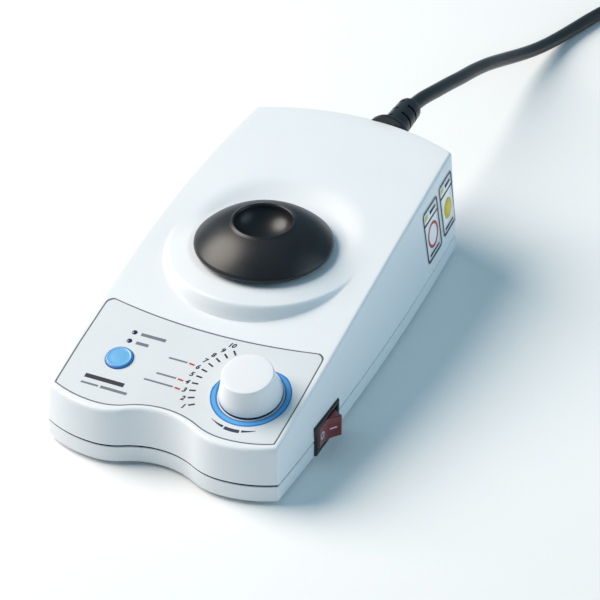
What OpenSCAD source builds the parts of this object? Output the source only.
// Small laboratory vortex mixer with an orbiting rubber cup head, in millimetres.
// Origin: on the table under the drive axis. +X is the switch side, +Y the rear, +Z up.

/* [Body] */
// Width of the body at its widest
body_w = 104.7; // [100:0.1:110]
// Distance from the drive axis to the front corners
front_depth = 96.7; // [92:0.1:102]
// Distance from the drive axis to the middle of the rear wall
rear_depth = 103.2; // [98:0.1:108]
// Height of the parting line above the table
seam_z = 9.45; // [9:0.05:10.5]
// Height that the feet lift the casing off the table
foot_h = 1.5; // [1:0.1:2]
// Height of the sloping deck line where it passes over the drive axis
deck_z0 = 47.6; // [46:0.1:49]
// Rise of the front panel per millimetre towards the rear
deck_slope = 0.22; // [0.2:0.005:0.24]
// Wall thickness of both shells
wall = 2.4; // [2:0.1:2.8]

/* [Head] */
// Radius of the raised round platform on the deck
platform_r = 43.2; // [42:0.1:44.5]
// Height of the level ring under the cup
ring_z = 46.4; // [46:0.1:46.8]
// Radius of the level ring under the cup
ring_r = 32; // [31:0.1:33]
// Distance between the drive axis and the crank pin, half the orbit
orbit_r = 2.5; // [1.5:0.1:2.6]
// Largest radius of the rubber cup
cup_r = 28.5; // [26:0.1:30]
// Height of the cup's dish rim above the table
cup_top = 60; // [59:0.1:62]
// How far the head can be pressed down
press_travel = 1.2; // [0.8:0.1:1.2]

/* [Controls] */
// Sideways place of the speed knob
knob_x = 28.4; // [27:0.1:30]
// Radius of the knob at its skirt
knob_r = 12.5; // [11:0.1:13]
// Height of the knob
knob_h = 12.5; // [11:0.1:14]
// Radius of the start button
button_r = 5.6; // [5:0.1:5.8]
// Place of the rocker switch along the side wall
switch_y = -55.7; // [-58:0.1:-54]
// Tilt of the rocker each way from its middle, in degrees
rocker_tilt = 19; // [12:1:20]

/* [Cord] */
// Diameter of the power cord
cord_d = 6.4; // [6:0.1:6.8]
// Mean radius of the middle turns of the put-away coil
coil_r = 37; // [34:0.5:38]

/* [Hidden] */

$fn = 48;
eps = 0.01;
panel_tilt = atan(deck_slope);

// Plan outline of the casing at the parting line
side_y = -16.1;          // where the side walls are widest
side_arc_r = 1385;       // the long gentle side arcs
rear_arc_r = 102.3;
rear_corner_r = 2.5;
least_corner_r = 0.4;
side_draft = 3.25;
front_draft = 6;
rear_draft = 5.9;
loft_top = 60;

// Double wave of the front wall: valley arc, two inner lobe arcs, two outer lobe arcs
lobe_x = 27;
lobe_peak = 6.1;
valley_x = 15.2;
wave_corner_x = body_w / 2 - 2.35;
valley_arc_r = 32;
inner_lobe_r = 25;
outer_lobe_r = 46;
valley_y = lobe_peak - (1 - cos(asin((lobe_x - valley_x) / inner_lobe_r))) * inner_lobe_r
    - (valley_arc_r - sqrt(valley_arc_r * valley_arc_r - valley_x * valley_x));
function arc_drop(r, d) = r - sqrt(r * r - d * d);
function wave(x) = let (a = abs(x))
    a < valley_x ? -(valley_y + arc_drop(valley_arc_r, a))
    : a < lobe_x ? -(lobe_peak - arc_drop(inner_lobe_r, lobe_x - a))
    : -(lobe_peak - arc_drop(outer_lobe_r, min(a, wave_corner_x) - lobe_x));

function half_w(y, g) = body_w / 2 - (y - side_y) * (y - side_y) / (2 * side_arc_r) - g;
function rear_centre_y() = rear_depth - rear_arc_r;

// Right half of the outline, front middle to rear middle, inset by gf, gs and gr
function half_outline(gf, gs, gr) =
    let (fy = -front_depth + gf, fx = half_w(fy, gs), r = max(rear_corner_r - gs * 0.5, least_corner_r), big = rear_arc_r - gr,
        y1 = 86, cx = half_w(y1, gs) - r, cy = rear_centre_y() + sqrt((big - r) * (big - r) - cx * cx),
        a0 = atan((cy - side_y) / side_arc_r), a1 = atan2(cy - rear_centre_y(), cx))
    concat([for (i = [0:20]) [fx * i / 20, fy + wave(fx * i / 20)]],
        [for (i = [1:8]) let (y = fy + (cy - fy) * i / 9) [half_w(y, gs), y]],
        [for (i = [0:6]) let (a = a0 + (a1 - a0) * i / 6) [cx + r * cos(a), cy + r * sin(a)]],
        [for (i = [1:7]) let (a = a1 + (90 - a1) * i / 7) [big * cos(a), rear_centre_y() + big * sin(a)]]);
function outline(gf, gs, gr) = let (h = half_outline(gf, gs, gr), n = len(h))
    concat(h, [for (i = [n - 2:-1:1]) [-h[i][0], h[i][1]]]);
function drafted(g, z) = let (h = z - seam_z)
    outline(g + h * tan(front_draft), g + h * tan(side_draft), g + h * tan(rear_draft));

// Height of the deck at y: straight over the panel, then bending level
bend_y = -44.7;
bend_r = 624;
function deck_z(y) = deck_z0 + deck_slope * y - pow(max(y - bend_y, 0), 2) / (2 * bend_r);

module loft(g, z0, z1) {
    low = drafted(g, z0);
    high = drafted(g, z1);
    n = len(low);
    polyhedron(concat([for (p = low) [p[0], p[1], z0]], [for (p = high) [p[0], p[1], z1]]),
        concat([[for (i = [0:n - 1]) i]], [[for (i = [n - 1:-1:0]) i + n]],
            [for (i = [0:n - 1]) [i, i + n, (i + 1) % n + n]],
            [for (i = [0:n - 1]) [i, (i + 1) % n + n, (i + 1) % n]]));
}

deck_reach = 130;
module below_deck(g) {
    rotate([90, 0, 90])
        linear_extrude(deck_reach, center = true)
            polygon(concat([[deck_reach, -1], [-deck_reach, -1], [-deck_reach, deck_z(-deck_reach) - g]],
                [for (i = [0:13]) let (y = bend_y + i * 13) [y, deck_z(y) - g]]));
}

// Round raised platform in front, shallow countersink behind
platform_edge_r = 41;
platform_edge_z = 44.6;
dish_rise = 0.37;
dish_reach = 16;
module platform(g) {
    rotate_extrude($fn = 96)
        polygon([[0, seam_z], [platform_r + 0.7 - g, seam_z], [platform_r - g, 38 - g],
            [platform_edge_r - g, platform_edge_z - g], [ring_r - g / 2, ring_z - g], [0, ring_z - g]]);
}
module countersink(g) {
    rotate_extrude($fn = 96)
        polygon([[0, ring_z - g], [ring_r + g / 2, ring_z - g],
            [ring_r + g / 2 + dish_reach, ring_z - g + dish_reach * dish_rise],
            [ring_r + g / 2 + dish_reach, 80], [0, 80]]);
}
module casing_solid(g, z0) {
    difference() {
        intersection() {
            loft(g, z0, loft_top);
            below_deck(g);
        }
        countersink(g);
    }
    intersection() {
        platform(g);
        loft(g, z0, loft_top);
    }
}

// The control panel's own frame: x right, y up the slope, z out of the panel
panel_y = -74.95;
module on_panel(x = 0, y = 0, z = 0)
    translate([0, panel_y, deck_z(panel_y)])
        rotate([panel_tilt, 0, 0])
            translate([x, y, z])
                children();
led_y = [14.3, 9.6];
button_x = -28.6;
led_x = -29;
board_z = -10;
board_t = 1.6;
board_posts = [[-34, -11], [11, -11], [-34, 17], [11, 17]];

// Screws that close the casing, and feet
screw_places = [[42, -86], [-42, -86], [41, 78], [-41, 78]];
foot_places = [[30, -85], [-30, -85], [30, 84], [-30, 84]];
floor_z = foot_h + wall;
screw_r = 1.5;

// Rocker switch
switch_z = 9.25;
bezel_l = 22;
bezel_h = 13.5;
switch_l = 20;
switch_h = 12.2;
bezel_face = 52.6;
rim_gap = 0.04;
switch_back = 31;
pivot_x = 47.2;

// Cord exit
relief_x = 12;
relief_z = 46.2;
wall_rear = 98.3;
relief_end = 124;

module switch_opening() {
    translate([switch_back - 1, switch_y - switch_l / 2 - 0.1, switch_z - switch_h / 2 - 0.1])
        cube([30, switch_l + 0.2, switch_h + 0.2]);
}
module overlay_prism(g) {
    fx = 47.2 - g;
    bx = 47.6 - g;
    by = -46.7 - g;
    fy = -front_depth + 3.8 + g;
    dip = 4.6;
    linear_extrude(80)
        polygon(concat([for (i = [-20:20]) [fx * i / 20, fy + wave(fx * i / 20) * 0.85]],
            [[bx + 0.2, fy + 20], [bx + 0.1, by - 3], [bx - 0.9, by - 0.9], [bx - 3, by]],
            [for (i = [5:-1:-5]) let (x = (bx - 8) * i / 5) [x, by - dip + dip * pow(x / bx, 2)]],
            [[-bx + 3, by], [-bx + 0.9, by - 0.9], [-bx - 0.1, by - 3], [-bx - 0.2, fy + 20]]));
}
overlay_t = 0.4;

module upper_housing() {
    color("ghostwhite")
        difference() {
            union() {
                difference() {
                    casing_solid(0, seam_z);
                    casing_solid(wall, seam_z - 3);
                }
                intersection() {
                    union() {
                        for (p = screw_places)
                            translate([p[0], p[1], seam_z + 1])
                                cylinder(r = 4, h = 50);
                        for (p = board_posts)
                            on_panel(p[0], p[1], board_z)
                                cylinder(r = 3, h = -board_z - 1);
                    }
                    casing_solid(1, seam_z);
                }
            }
            for (p = screw_places)
                translate([p[0], p[1], seam_z])
                    cylinder(r = screw_r, h = 12);
            for (p = board_posts)
                on_panel(p[0], p[1], board_z - eps)
                    cylinder(r = 1, h = 6);
            translate([0, 0, ring_z - 8])
                cylinder(r = 17, h = 12);
            on_panel(knob_x, 0, -8)
                cylinder(r = 3.6, h = 16);
            on_panel(button_x, 0, -8)
                cylinder(r = button_r + 0.3, h = 16);
            for (y = led_y)
                on_panel(led_x, y, -8)
                    cylinder(r = 1.15, h = 16);
            intersection() {
                overlay_prism(0);
                difference() {
                    translate([-60, -110, 0])
                        cube([120, 80, 60]);
                    below_deck(overlay_t);
                }
            }
            switch_opening();
            translate([relief_x, 80, relief_z])
                rotate([-90, 0, 0])
                    cylinder(r = 4.6, h = 30);
        }
}

// Floor with walls up to the seam, screw bosses, standoffs and a pillar for the touch switch
standoffs = [[32, 52], [-32, 52], [32, 84], [-32, 84]];
standoff_z = 20;
post_xy = 30;
guide_places = [for (x = [-1, 1], y = [-1, 1]) [x * post_xy, y * post_xy]];
touch_y = 38;
touch_z = 14;
module lower_housing() {
    color("ghostwhite")
        difference() {
            union() {
                difference() {
                    translate([0, 0, foot_h])
                        linear_extrude(seam_z - foot_h)
                            polygon(outline(0.15, 0.15, 0.15));
                    translate([0, 0, floor_z])
                        linear_extrude(seam_z)
                            polygon(outline(wall, wall, wall));
                }
                for (p = screw_places)
                    translate([p[0], p[1], foot_h])
                        cylinder(r = 4.2, h = seam_z + 0.8 - foot_h);
                for (p = standoffs)
                    translate([p[0], p[1], foot_h])
                        cylinder(r = 3, h = standoff_z - foot_h);
                for (p = guide_places)
                    translate([p[0], p[1], foot_h])
                        cylinder(r = 6, h = 8 - foot_h);
                translate([-10, touch_y - 2, foot_h])
                    cube([20, 6, touch_z - foot_h]);
            }
            for (p = screw_places)
                translate([p[0], p[1], 0]) {
                    cylinder(r = screw_r + 0.2, h = 20);
                    cylinder(r = 3.2, h = 4.5);
                }
            for (p = standoffs)
                translate([p[0], p[1], standoff_z - 8])
                    cylinder(r = 1.25, h = 10);
            for (p = guide_places)
                translate([p[0], p[1], 3])
                    cylinder(r = 3, h = 10);
            for (p = foot_places)
                translate([p[0], p[1], 0])
                    cylinder(r = 2, h = 8);
            switch_opening();
        }
}

module panel_overlay() {
    color("lightgray")
        difference() {
            intersection() {
                overlay_prism(0.15);
                difference() {
                    below_deck(0.05);
                    below_deck(overlay_t);
                }
            }
            on_panel(knob_x, 0, -3)
                cylinder(r = 3.6, h = 8);
            on_panel(button_x, 0, -3)
                cylinder(r = button_r + 0.2, h = 8);
            for (y = led_y)
                on_panel(led_x, y, -3)
                    cylinder(r = 1.15, h = 8);
        }
}

// Knob on its potentiometer
module speed_knob() {
    gap = 0.8;
    top_r = 10.2;
    color("whitesmoke")
        on_panel(knob_x)
            rotate_extrude($fn = 72)
                polygon(concat([[3, gap + 3.4], [7, gap + 3.4], [7, gap], [knob_r - 0.3, gap],
                        [knob_r, gap + 0.3], [knob_r, gap + 1]],
                    [for (a = [0:15:75]) [top_r - 0.8 + 1.2 * cos(a), knob_h - 1.7 + 1.2 * sin(a)]],
                    [[top_r / 2, knob_h - 0.15], [0, knob_h], [0, 10], [3, 10]]));
}
module potentiometer_shaft() {
    color("silver")
        on_panel(knob_x, 0, -8)
            cylinder(r = 3, h = 18);
}
module potentiometer() {
    color("darkslategray")
        on_panel(knob_x)
            difference() {
                union() {
                    translate([0, 0, -12])
                        cylinder(r = 8.5, h = 12 - wall - 0.1);
                    translate([0, 0, -wall - 1])
                        cylinder(r = 3.5, h = wall + 1 + 3.2);
                    translate([-6, -12, -11])
                        cube([12, 6, 1.2]);
                }
                translate([0, 0, -8.4])
                    cylinder(r = 3.05, h = 16);
            }
}
module potentiometer_nut() {
    color("silver")
        on_panel(knob_x, 0, 0.1)
            difference() {
                cylinder(r = 6.2, h = 2.2, $fn = 6);
                translate([0, 0, -1])
                    cylinder(r = 3.5, h = 5);
            }
}

// Start button over a small tactile switch, and the two lamps
module start_button() {
    color("lightsteelblue")
        on_panel(button_x)
            rotate_extrude()
                polygon([[0, -5.6], [2, -5.6], [2, -4], [6.6, -4], [6.6, -2.9], [button_r, -2.9],
                    [button_r, 0.7], [button_r - 0.4, 1], [button_r - 1.1, 0.8], [0, 1.1]]);
}
module button_switch() {
    color("black")
        on_panel(button_x, 0, board_z) {
            translate([-3, -3, 0])
                cube([6, 6, 3]);
            cylinder(r = 1.7, h = 3.5);
        }
}
module lamp(y) {
    on_panel(led_x, y, board_z)
        cylinder(r = 1.1, h = 0.4 - board_z);
}
module led_on() {
    color("navy")
        lamp(led_y[0]);
}
module led_touch() {
    color("navy")
        lamp(led_y[1]);
}
module control_board() {
    color("seagreen")
        on_panel(0, 0, board_z - board_t)
            difference() {
                translate([-37, -14, 0])
                    cube([51, 34, board_t]);
                for (p = board_posts)
                    translate([p[0], p[1], -1])
                        cylinder(r = 1.1, h = 4);
            }
}
module small_screw(r, h, head_r, head_h) {
    cylinder(r = r, h = h);
    translate([0, 0, -head_h])
        cylinder(r = head_r, h = head_h);
}
module board_screws() {
    color("silver") {
        for (p = board_posts)
            on_panel(p[0], p[1], board_z - board_t)
                small_screw(1, 7, 1.9, 1.2);
        for (p = standoffs)
            translate([p[0], p[1], standoff_z + board_t])
                mirror([0, 0, 1])
                    small_screw(1.25, 8, 2.4, 1.4);
    }
}

// Rocker switch on the right wall, across the parting line
module switch_bezel() {
    module block(l, h, x0, x1)
        translate([x0, switch_y - l / 2, switch_z - h / 2])
            cube([x1 - x0, l, h]);
    color("black")
        difference() {
            union() {
                block(switch_l, switch_h, switch_back, bezel_face - 0.2);
                // The rim's back lies on the casing's curved, leaning side
                difference() {
                    intersection() {
                        block(bezel_l, bezel_h, bezel_face - 1.1, bezel_face);
                        translate([bezel_face - 3, switch_y, switch_z])
                            rotate([0, 90, 0])
                                cylinder(r1 = 20, r2 = 12.2, h = 3.1, $fn = 64);
                    }
                    loft(-rim_gap, seam_z - rim_gap, loft_top);
                    linear_extrude(seam_z)
                        polygon(outline(-rim_gap, -rim_gap, -rim_gap));
                }
            }
            block(18.2, 10.4, 36, bezel_face + 1);
            translate([pivot_x, switch_y, 0])
                cylinder(r = 1.05, h = 40);
        }
}
module switch_rocker() {
    // Right half of the side view: hollow face, tip, then an end that clears the opening as it turns
    half = [[8, 6.3], [7.3, 6.9], [5.8, 6.9], [0, 8.4], [-2, 7], [-6, 2.5]];
    face_mid = 5.9;
    color("darkred")
        translate([pivot_x, switch_y, switch_z])
            rotate([0, 0, -rocker_tilt]) {
                translate([0, 0, -4.9])
                    linear_extrude(9.8)
                        polygon(concat([[face_mid, 0]], half,
                            [for (i = [len(half) - 1:-1:0]) [half[i][0], -half[i][1]]]));
                translate([0, 0, -5.9])
                    cylinder(r = 1, h = 11.8);
            }
}
module switch_terminals() {
    color("gold")
        for (y = [-6, 0, 6])
            translate([switch_back - 7, switch_y + y - 0.4, switch_z - 2.4])
                cube([7, 0.8, 4.8]);
}

// Rubber cup on its hub, turning on the crank pin
hub_flange_z = cup_top - 11.6;
hub_flange_t = 2.8;
module on_pin()
    translate([0, -orbit_r, 0])
        children();
module cup() {
    low = hub_flange_z - 0.2;
    dish_r = 12.6;
    dish_deep = 8.2;
    h = cup_top - 1.2 - (low + 1.3);
    color("dimgray")
        on_pin()
            rotate_extrude($fn = 96)
                polygon(concat([[0, hub_flange_z + hub_flange_t], [20, hub_flange_z + hub_flange_t], [20, low],
                        [cup_r - 1.3, low], [cup_r - 0.3, low + 0.5], [cup_r, low + 1.3]],
                    [for (i = [1:7]) let (t = i / 8, bulge = 4 * t * (1 - t) * 1.1)
                        [cup_r + (dish_r + 0.9 - cup_r) * t + bulge * 0.55, low + 1.3 + h * t + bulge]],
                    [[dish_r + 0.9, cup_top - 1.2], [dish_r + 0.6, cup_top - 0.3], [dish_r, cup_top]],
                    [for (a = [0:10:90]) [(dish_r - 0.6) * cos(a), cup_top - 0.3 - dish_deep * sin(a)]]));
}
module cup_hub() {
    color("silver")
        on_pin()
            rotate_extrude()
                polygon([[5, 35], [10, 35], [10, hub_flange_z], [20, hub_flange_z],
                    [20, hub_flange_z + hub_flange_t], [0, hub_flange_z + hub_flange_t], [0, 45], [4.5, 45],
                    [4.5, 41.4], [7.5, 41.4], [7.5, 36.2], [5, 36.2]]);
}
module head_bearing() {
    color("lightgray")
        on_pin()
            translate([0, 0, 36.2])
                difference() {
                    cylinder(r = 7.5, h = 5.2);
                    translate([0, 0, -1])
                        cylinder(r = 3, h = 8);
                }
}
module dust_seal() {
    color("darkslategray")
        rotate_extrude()
            polygon([[13.4, ring_z - 3.6], [18.4, ring_z - 3.6], [18.4, ring_z - wall - 0.05],
                [17, ring_z - wall - 0.05], [17, ring_z], [13.4, ring_z]]);
}

// Crank, counterweight and motor
crank_z = 29.5;
crank_t = 4.5;
shaft_r = 2.5;
module crank() {
    color("darkgray")
        difference() {
            union() {
                translate([0, 0, crank_z])
                    cylinder(r = 13, h = crank_t);
                on_pin()
                    translate([0, 0, crank_z])
                        cylinder(r = 3, h = 14);
            }
            translate([0, 0, crank_z - 1])
                cylinder(r = shaft_r, h = 4);
        }
}
module counterweight() {
    color("dimgray")
        intersection() {
            translate([0, 0, crank_z])
                difference() {
                    cylinder(r = 20, h = crank_t);
                    translate([0, 0, -1])
                        cylinder(r = 13, h = crank_t + 2);
                }
            translate([-30, 4, 0])
                cube(60);
        }
}
case_z0 = 6.5;
case_z1 = 26;
module ring(r_in, r_out, z0, z1)
    translate([0, 0, z0])
        difference() {
            cylinder(r = r_out, h = z1 - z0);
            translate([0, 0, -1])
                cylinder(r = r_in, h = z1 - z0 + 2);
        }
module motor_shaft() {
    color("silver")
        translate([0, 0, case_z0])
            cylinder(r = shaft_r, h = crank_z + 3 - case_z0);
}
module motor_rotor() {
    color("gray")
        ring(shaft_r, 14.4, 11.5, 21);
}
module motor_stator() {
    color("saddlebrown")
        ring(15, 22, 10, 22.5);
}
module motor_case() {
    color("silver")
        difference() {
            translate([0, 0, case_z0])
                cylinder(r = 23.5, h = case_z1 - case_z0);
            translate([0, 0, 8])
                cylinder(r = 22, h = 16.5);
            translate([0, 0, case_z0 - 1])
                cylinder(r = 5, h = 30);
            for (a = [45:90:315])
                rotate([0, 0, a])
                    translate([18, 0, 22])
                        cylinder(r = screw_r, h = 10);
        }
}
module motor_bearings() {
    color("lightgray") {
        ring(shaft_r + 0.03, 5, case_z0, 10);
        ring(shaft_r + 0.03, 5, 22.5, case_z1);
    }
}
plate_t = 2.5;
module motor_plate() {
    half = post_xy + 7;
    color("silver")
        difference() {
            intersection() {
                translate([-half, -half, case_z1])
                    cube([2 * half, 2 * half, plate_t]);
                cylinder(r = half * 1.32, h = 60);
            }
            translate([0, 0, 20])
                cylinder(r = 6, h = 20);
            for (p = guide_places)
                translate([p[0], p[1], 20])
                    cylinder(r = 4.4, h = 20);
            for (a = [45:90:315])
                rotate([0, 0, a])
                    translate([18, 0, 20])
                        cylinder(r = screw_r, h = 20);
        }
}
module plate_screws() {
    color("gray")
        for (a = [45:90:315])
            rotate([0, 0, a])
                translate([18, 0, case_z1 + plate_t])
                    mirror([0, 0, 1])
                        small_screw(screw_r, 5.5, 2.8, 0.8);
}
module at_posts()
    for (p = guide_places)
        translate([p[0], p[1], 0])
            children();
post_r = 2.5;
spring_z0 = 14;
grommet_z = 24.8;
module isolation_grommets() {
    color("black")
        at_posts()
            rotate_extrude()
                polygon([[post_r + 0.05, grommet_z], [6, grommet_z], [6, case_z1], [4.4, case_z1],
                    [4.4, case_z1 + plate_t], [6, case_z1 + plate_t], [6, case_z1 + plate_t + 1.2],
                    [post_r + 0.05, case_z1 + plate_t + 1.2]]);
}
module guide_posts() {
    color("silver")
        at_posts() {
            translate([0, 0, 3])
                cylinder(r = 3, h = 5);
            translate([0, 0, 8])
                cylinder(r = 5, h = spring_z0 - 8);
            translate([0, 0, spring_z0 - eps])
                cylinder(r = post_r, h = 18);
        }
}
module post_clips() {
    color("gray")
        at_posts()
            ring(post_r, 4.4, 30, 30.8);
}
// One coil spring as a swept polyhedron
function coil_point(t, turns, r, z0, z1) = [r * cos(360 * turns * t), r * sin(360 * turns * t), z0 + (z1 - z0) * t];
module swept(path, r, sides) {
    n = len(path);
    function unit(v) = v / norm(v);
    function dir(i) = unit(path[min(i + 1, n - 1)] - path[max(i - 1, 0)]);
    function side_of(d) = unit(cross(d, abs(d[2]) > 0.8 ? [0, 1, 0] : [0, 0, 1]));
    rings = [for (i = [0:n - 1]) let (d = dir(i), u = side_of(d), v = cross(u, d))
        for (k = [0:sides - 1]) path[i] + r * (u * cos(360 * k / sides) + v * sin(360 * k / sides))];
    polyhedron(rings, concat(
        [[for (k = [0:sides - 1]) k]],
        [[for (k = [sides - 1:-1:0]) (n - 1) * sides + k]],
        [for (i = [0:n - 2], k = [0:sides - 1]) let (a = i * sides, b = a + sides, m = (k + 1) % sides)
            [a + k, b + k, b + m]],
        [for (i = [0:n - 2], k = [0:sides - 1]) let (a = i * sides, b = a + sides, m = (k + 1) % sides)
            [a + k, b + m, a + m]]));
}
module press_springs() {
    turns = 4;
    wire_r = 0.5;
    steps = turns * 10;
    color("silver")
        at_posts()
            swept([for (i = [0:steps])
                coil_point(i / steps, turns, 3.9, spring_z0 + wire_r + 0.1, grommet_z - wire_r - 0.1)], wire_r, 6);
}
module touch_switch() {
    color("black") {
        translate([-10, touch_y - 2, touch_z])
            cube([20, 6, 9.4]);
        // The plate meets the plunger at the end of the head's travel
        translate([0, touch_y + 1, touch_z])
            cylinder(r = 1.5, h = case_z1 - press_travel - 0.1 - touch_z);
    }
}

// Ballast and power supply at the rear
module ballast_plate() {
    color("dimgray")
        translate([-26, 50, floor_z])
            cube([52, 38, 6]);
}
module power_board() {
    color("seagreen")
        difference() {
            translate([-36, 48, standoff_z])
                cube([72, 40, board_t]);
            for (p = standoffs)
                translate([p[0], p[1], standoff_z - 1])
                    cylinder(r = 1.3, h = 4);
        }
}
module transformer() {
    color("goldenrod")
        translate([-24, 54, standoff_z + board_t])
            cube([32, 28, 20]);
}
module terminal_block() {
    color("limegreen")
        translate([14, 70, standoff_z + board_t])
            cube([12, 14, 10]);
}
module rubber_feet() {
    color("black")
        for (p = foot_places)
            translate([p[0], p[1], 0]) {
                cylinder(r = 6.5, h = foot_h);
                cylinder(r = 2, h = foot_h + wall + 0.6);
            }
}
module housing_screws() {
    color("gray")
        for (p = screw_places)
            translate([p[0], p[1], 4.5])
                small_screw(screw_r, 14, 2.9, 2);
}

// Cord: strain relief, free run, coil, tie, lead and plug
module strain_relief() {
    flange_end = wall_rear + 2.2;
    pitch = 6.9;
    module on_axis(y)
        translate([relief_x, y, relief_z])
            rotate([-90, 0, 0])
                children();
    color("black")
        difference() {
            union() {
                on_axis(wall_rear - 5)
                    cylinder(r = 4.5, h = 7);
                // The flange is flat outside and follows the leaning wall inside
                difference() {
                    on_axis(wall_rear - 1.3)
                        cylinder(r1 = 10, r2 = 9.3, h = flange_end - wall_rear + 1.3);
                    loft(-0.05, seam_z, loft_top);
                }
                on_axis(flange_end - 0.1)
                    cylinder(r1 = 6.2, r2 = 5.2, h = relief_end - flange_end + 0.1);
            }
            for (i = [0:2], s = [-1, 1])
                translate([relief_x + s * 5.6, wall_rear + 5 + pitch * (i + (s < 0 ? 0.5 : 0)), relief_z])
                    cube([4.6, 1.3, 14], center = true);
        }
}
cord_route = [[12, 124, 46.2], [13, 136, 44.8], [14.5, 148, 42.4], [15.5, 162, 39], [16.5, 175, 35.6],
    [17, 190, 31.5], [18, 205, 27], [19, 219, 22], [20.5, 233, 17], [22.5, 248, 12], [25, 263, 8],
    [28, 280, 4.8], [32, 297, 3.4], [38, 316, 3.2], [46, 331, 3.2], [58.5, 341.5, 3.2], [74, 346.5, 3.2],
    [90, 347.4, 3.2], [108, 347.4, 3.2]];
coil_centre = [108, 304];
plug_start = [150, 265, 8];
plug_angle = -94;
lead_route = [[151.4, 304, 9.6], [151.4, 290, 9.4], [151, 277, 8.6], plug_start];
module power_cord() {
    color("black")
        swept(cord_route, cord_d / 2, 10);
}
module cord_lead() {
    color("black")
        swept(lead_route, cord_d / 2, 10);
}
module cord_coil() {
    color("black")
        translate([coil_centre[0], coil_centre[1], 0])
            ring(coil_r - 1.5 * cord_d, coil_r + 1.5 * cord_d, 0, 2 * cord_d);
}
module cable_tie() {
    t = 1.2;
    gap = 0.15;
    long = 3 * cord_d + 2 * gap;
    high = 2 * cord_d + gap;
    color("black")
        translate([coil_centre[0] + coil_r, coil_centre[1], 0])
            difference() {
                translate([-long / 2 - t, -1.8, 0])
                    cube([long + 2 * t, 3.6, high + t]);
                translate([-long / 2, -3, -1])
                    cube([long, 6, high + 1]);
            }
}
module at_plug()
    translate(plug_start)
        rotate([0, 0, plug_angle])
            children();
module plug_body() {
    color("black")
        at_plug() {
            rotate([0, 90, 0])
                cylinder(r1 = 4.2, r2 = 5.4, h = 14);
            translate([13, -12, -8])
                cube([24, 24, 16]);
        }
}
module plug_pins() {
    color("silver")
        at_plug()
            for (y = [-6.35, 6.35])
                translate([37, y - 0.75, -3.2])
                    cube([17, 1.5, 6.4]);
}

// Stickers on the right wall and under the floor
label_t = 0.2;
label_glue = 0.03;
module side_label(y0, y1, z0, z1, lean) {
    intersection() {
        difference() {
            loft(-label_t, seam_z, loft_top);
            loft(-label_glue, seam_z - 1, loft_top + 1);
        }
        rotate([90, 0, 90])
            linear_extrude(60)
                polygon([[y0 + lean, z0], [y1 + lean, z0], [y1, z1], [y0, z1]]);
    }
}
module side_label_front() {
    color("khaki")
        side_label(48, 65.4, 17, 44, 6);
}
module side_label_rear() {
    color("lightsteelblue")
        side_label(68.6, 84, 18, 45, 5.6);
}
module rating_label() {
    color("silver")
        translate([-22, -20, foot_h - 0.15])
            cube([44, 40, 0.15]);
}

upper_housing();
lower_housing();
panel_overlay();
speed_knob();
potentiometer();
potentiometer_shaft();
potentiometer_nut();
start_button();
button_switch();
led_on();
led_touch();
control_board();
board_screws();
switch_bezel();
switch_rocker();
switch_terminals();
cup();
cup_hub();
head_bearing();
dust_seal();
crank();
counterweight();
motor_shaft();
motor_rotor();
motor_stator();
motor_case();
motor_bearings();
motor_plate();
plate_screws();
isolation_grommets();
guide_posts();
post_clips();
press_springs();
touch_switch();
ballast_plate();
power_board();
transformer();
terminal_block();
rubber_feet();
housing_screws();
strain_relief();
power_cord();
cord_coil();
cord_lead();
cable_tie();
plug_body();
plug_pins();
side_label_front();
side_label_rear();
rating_label();
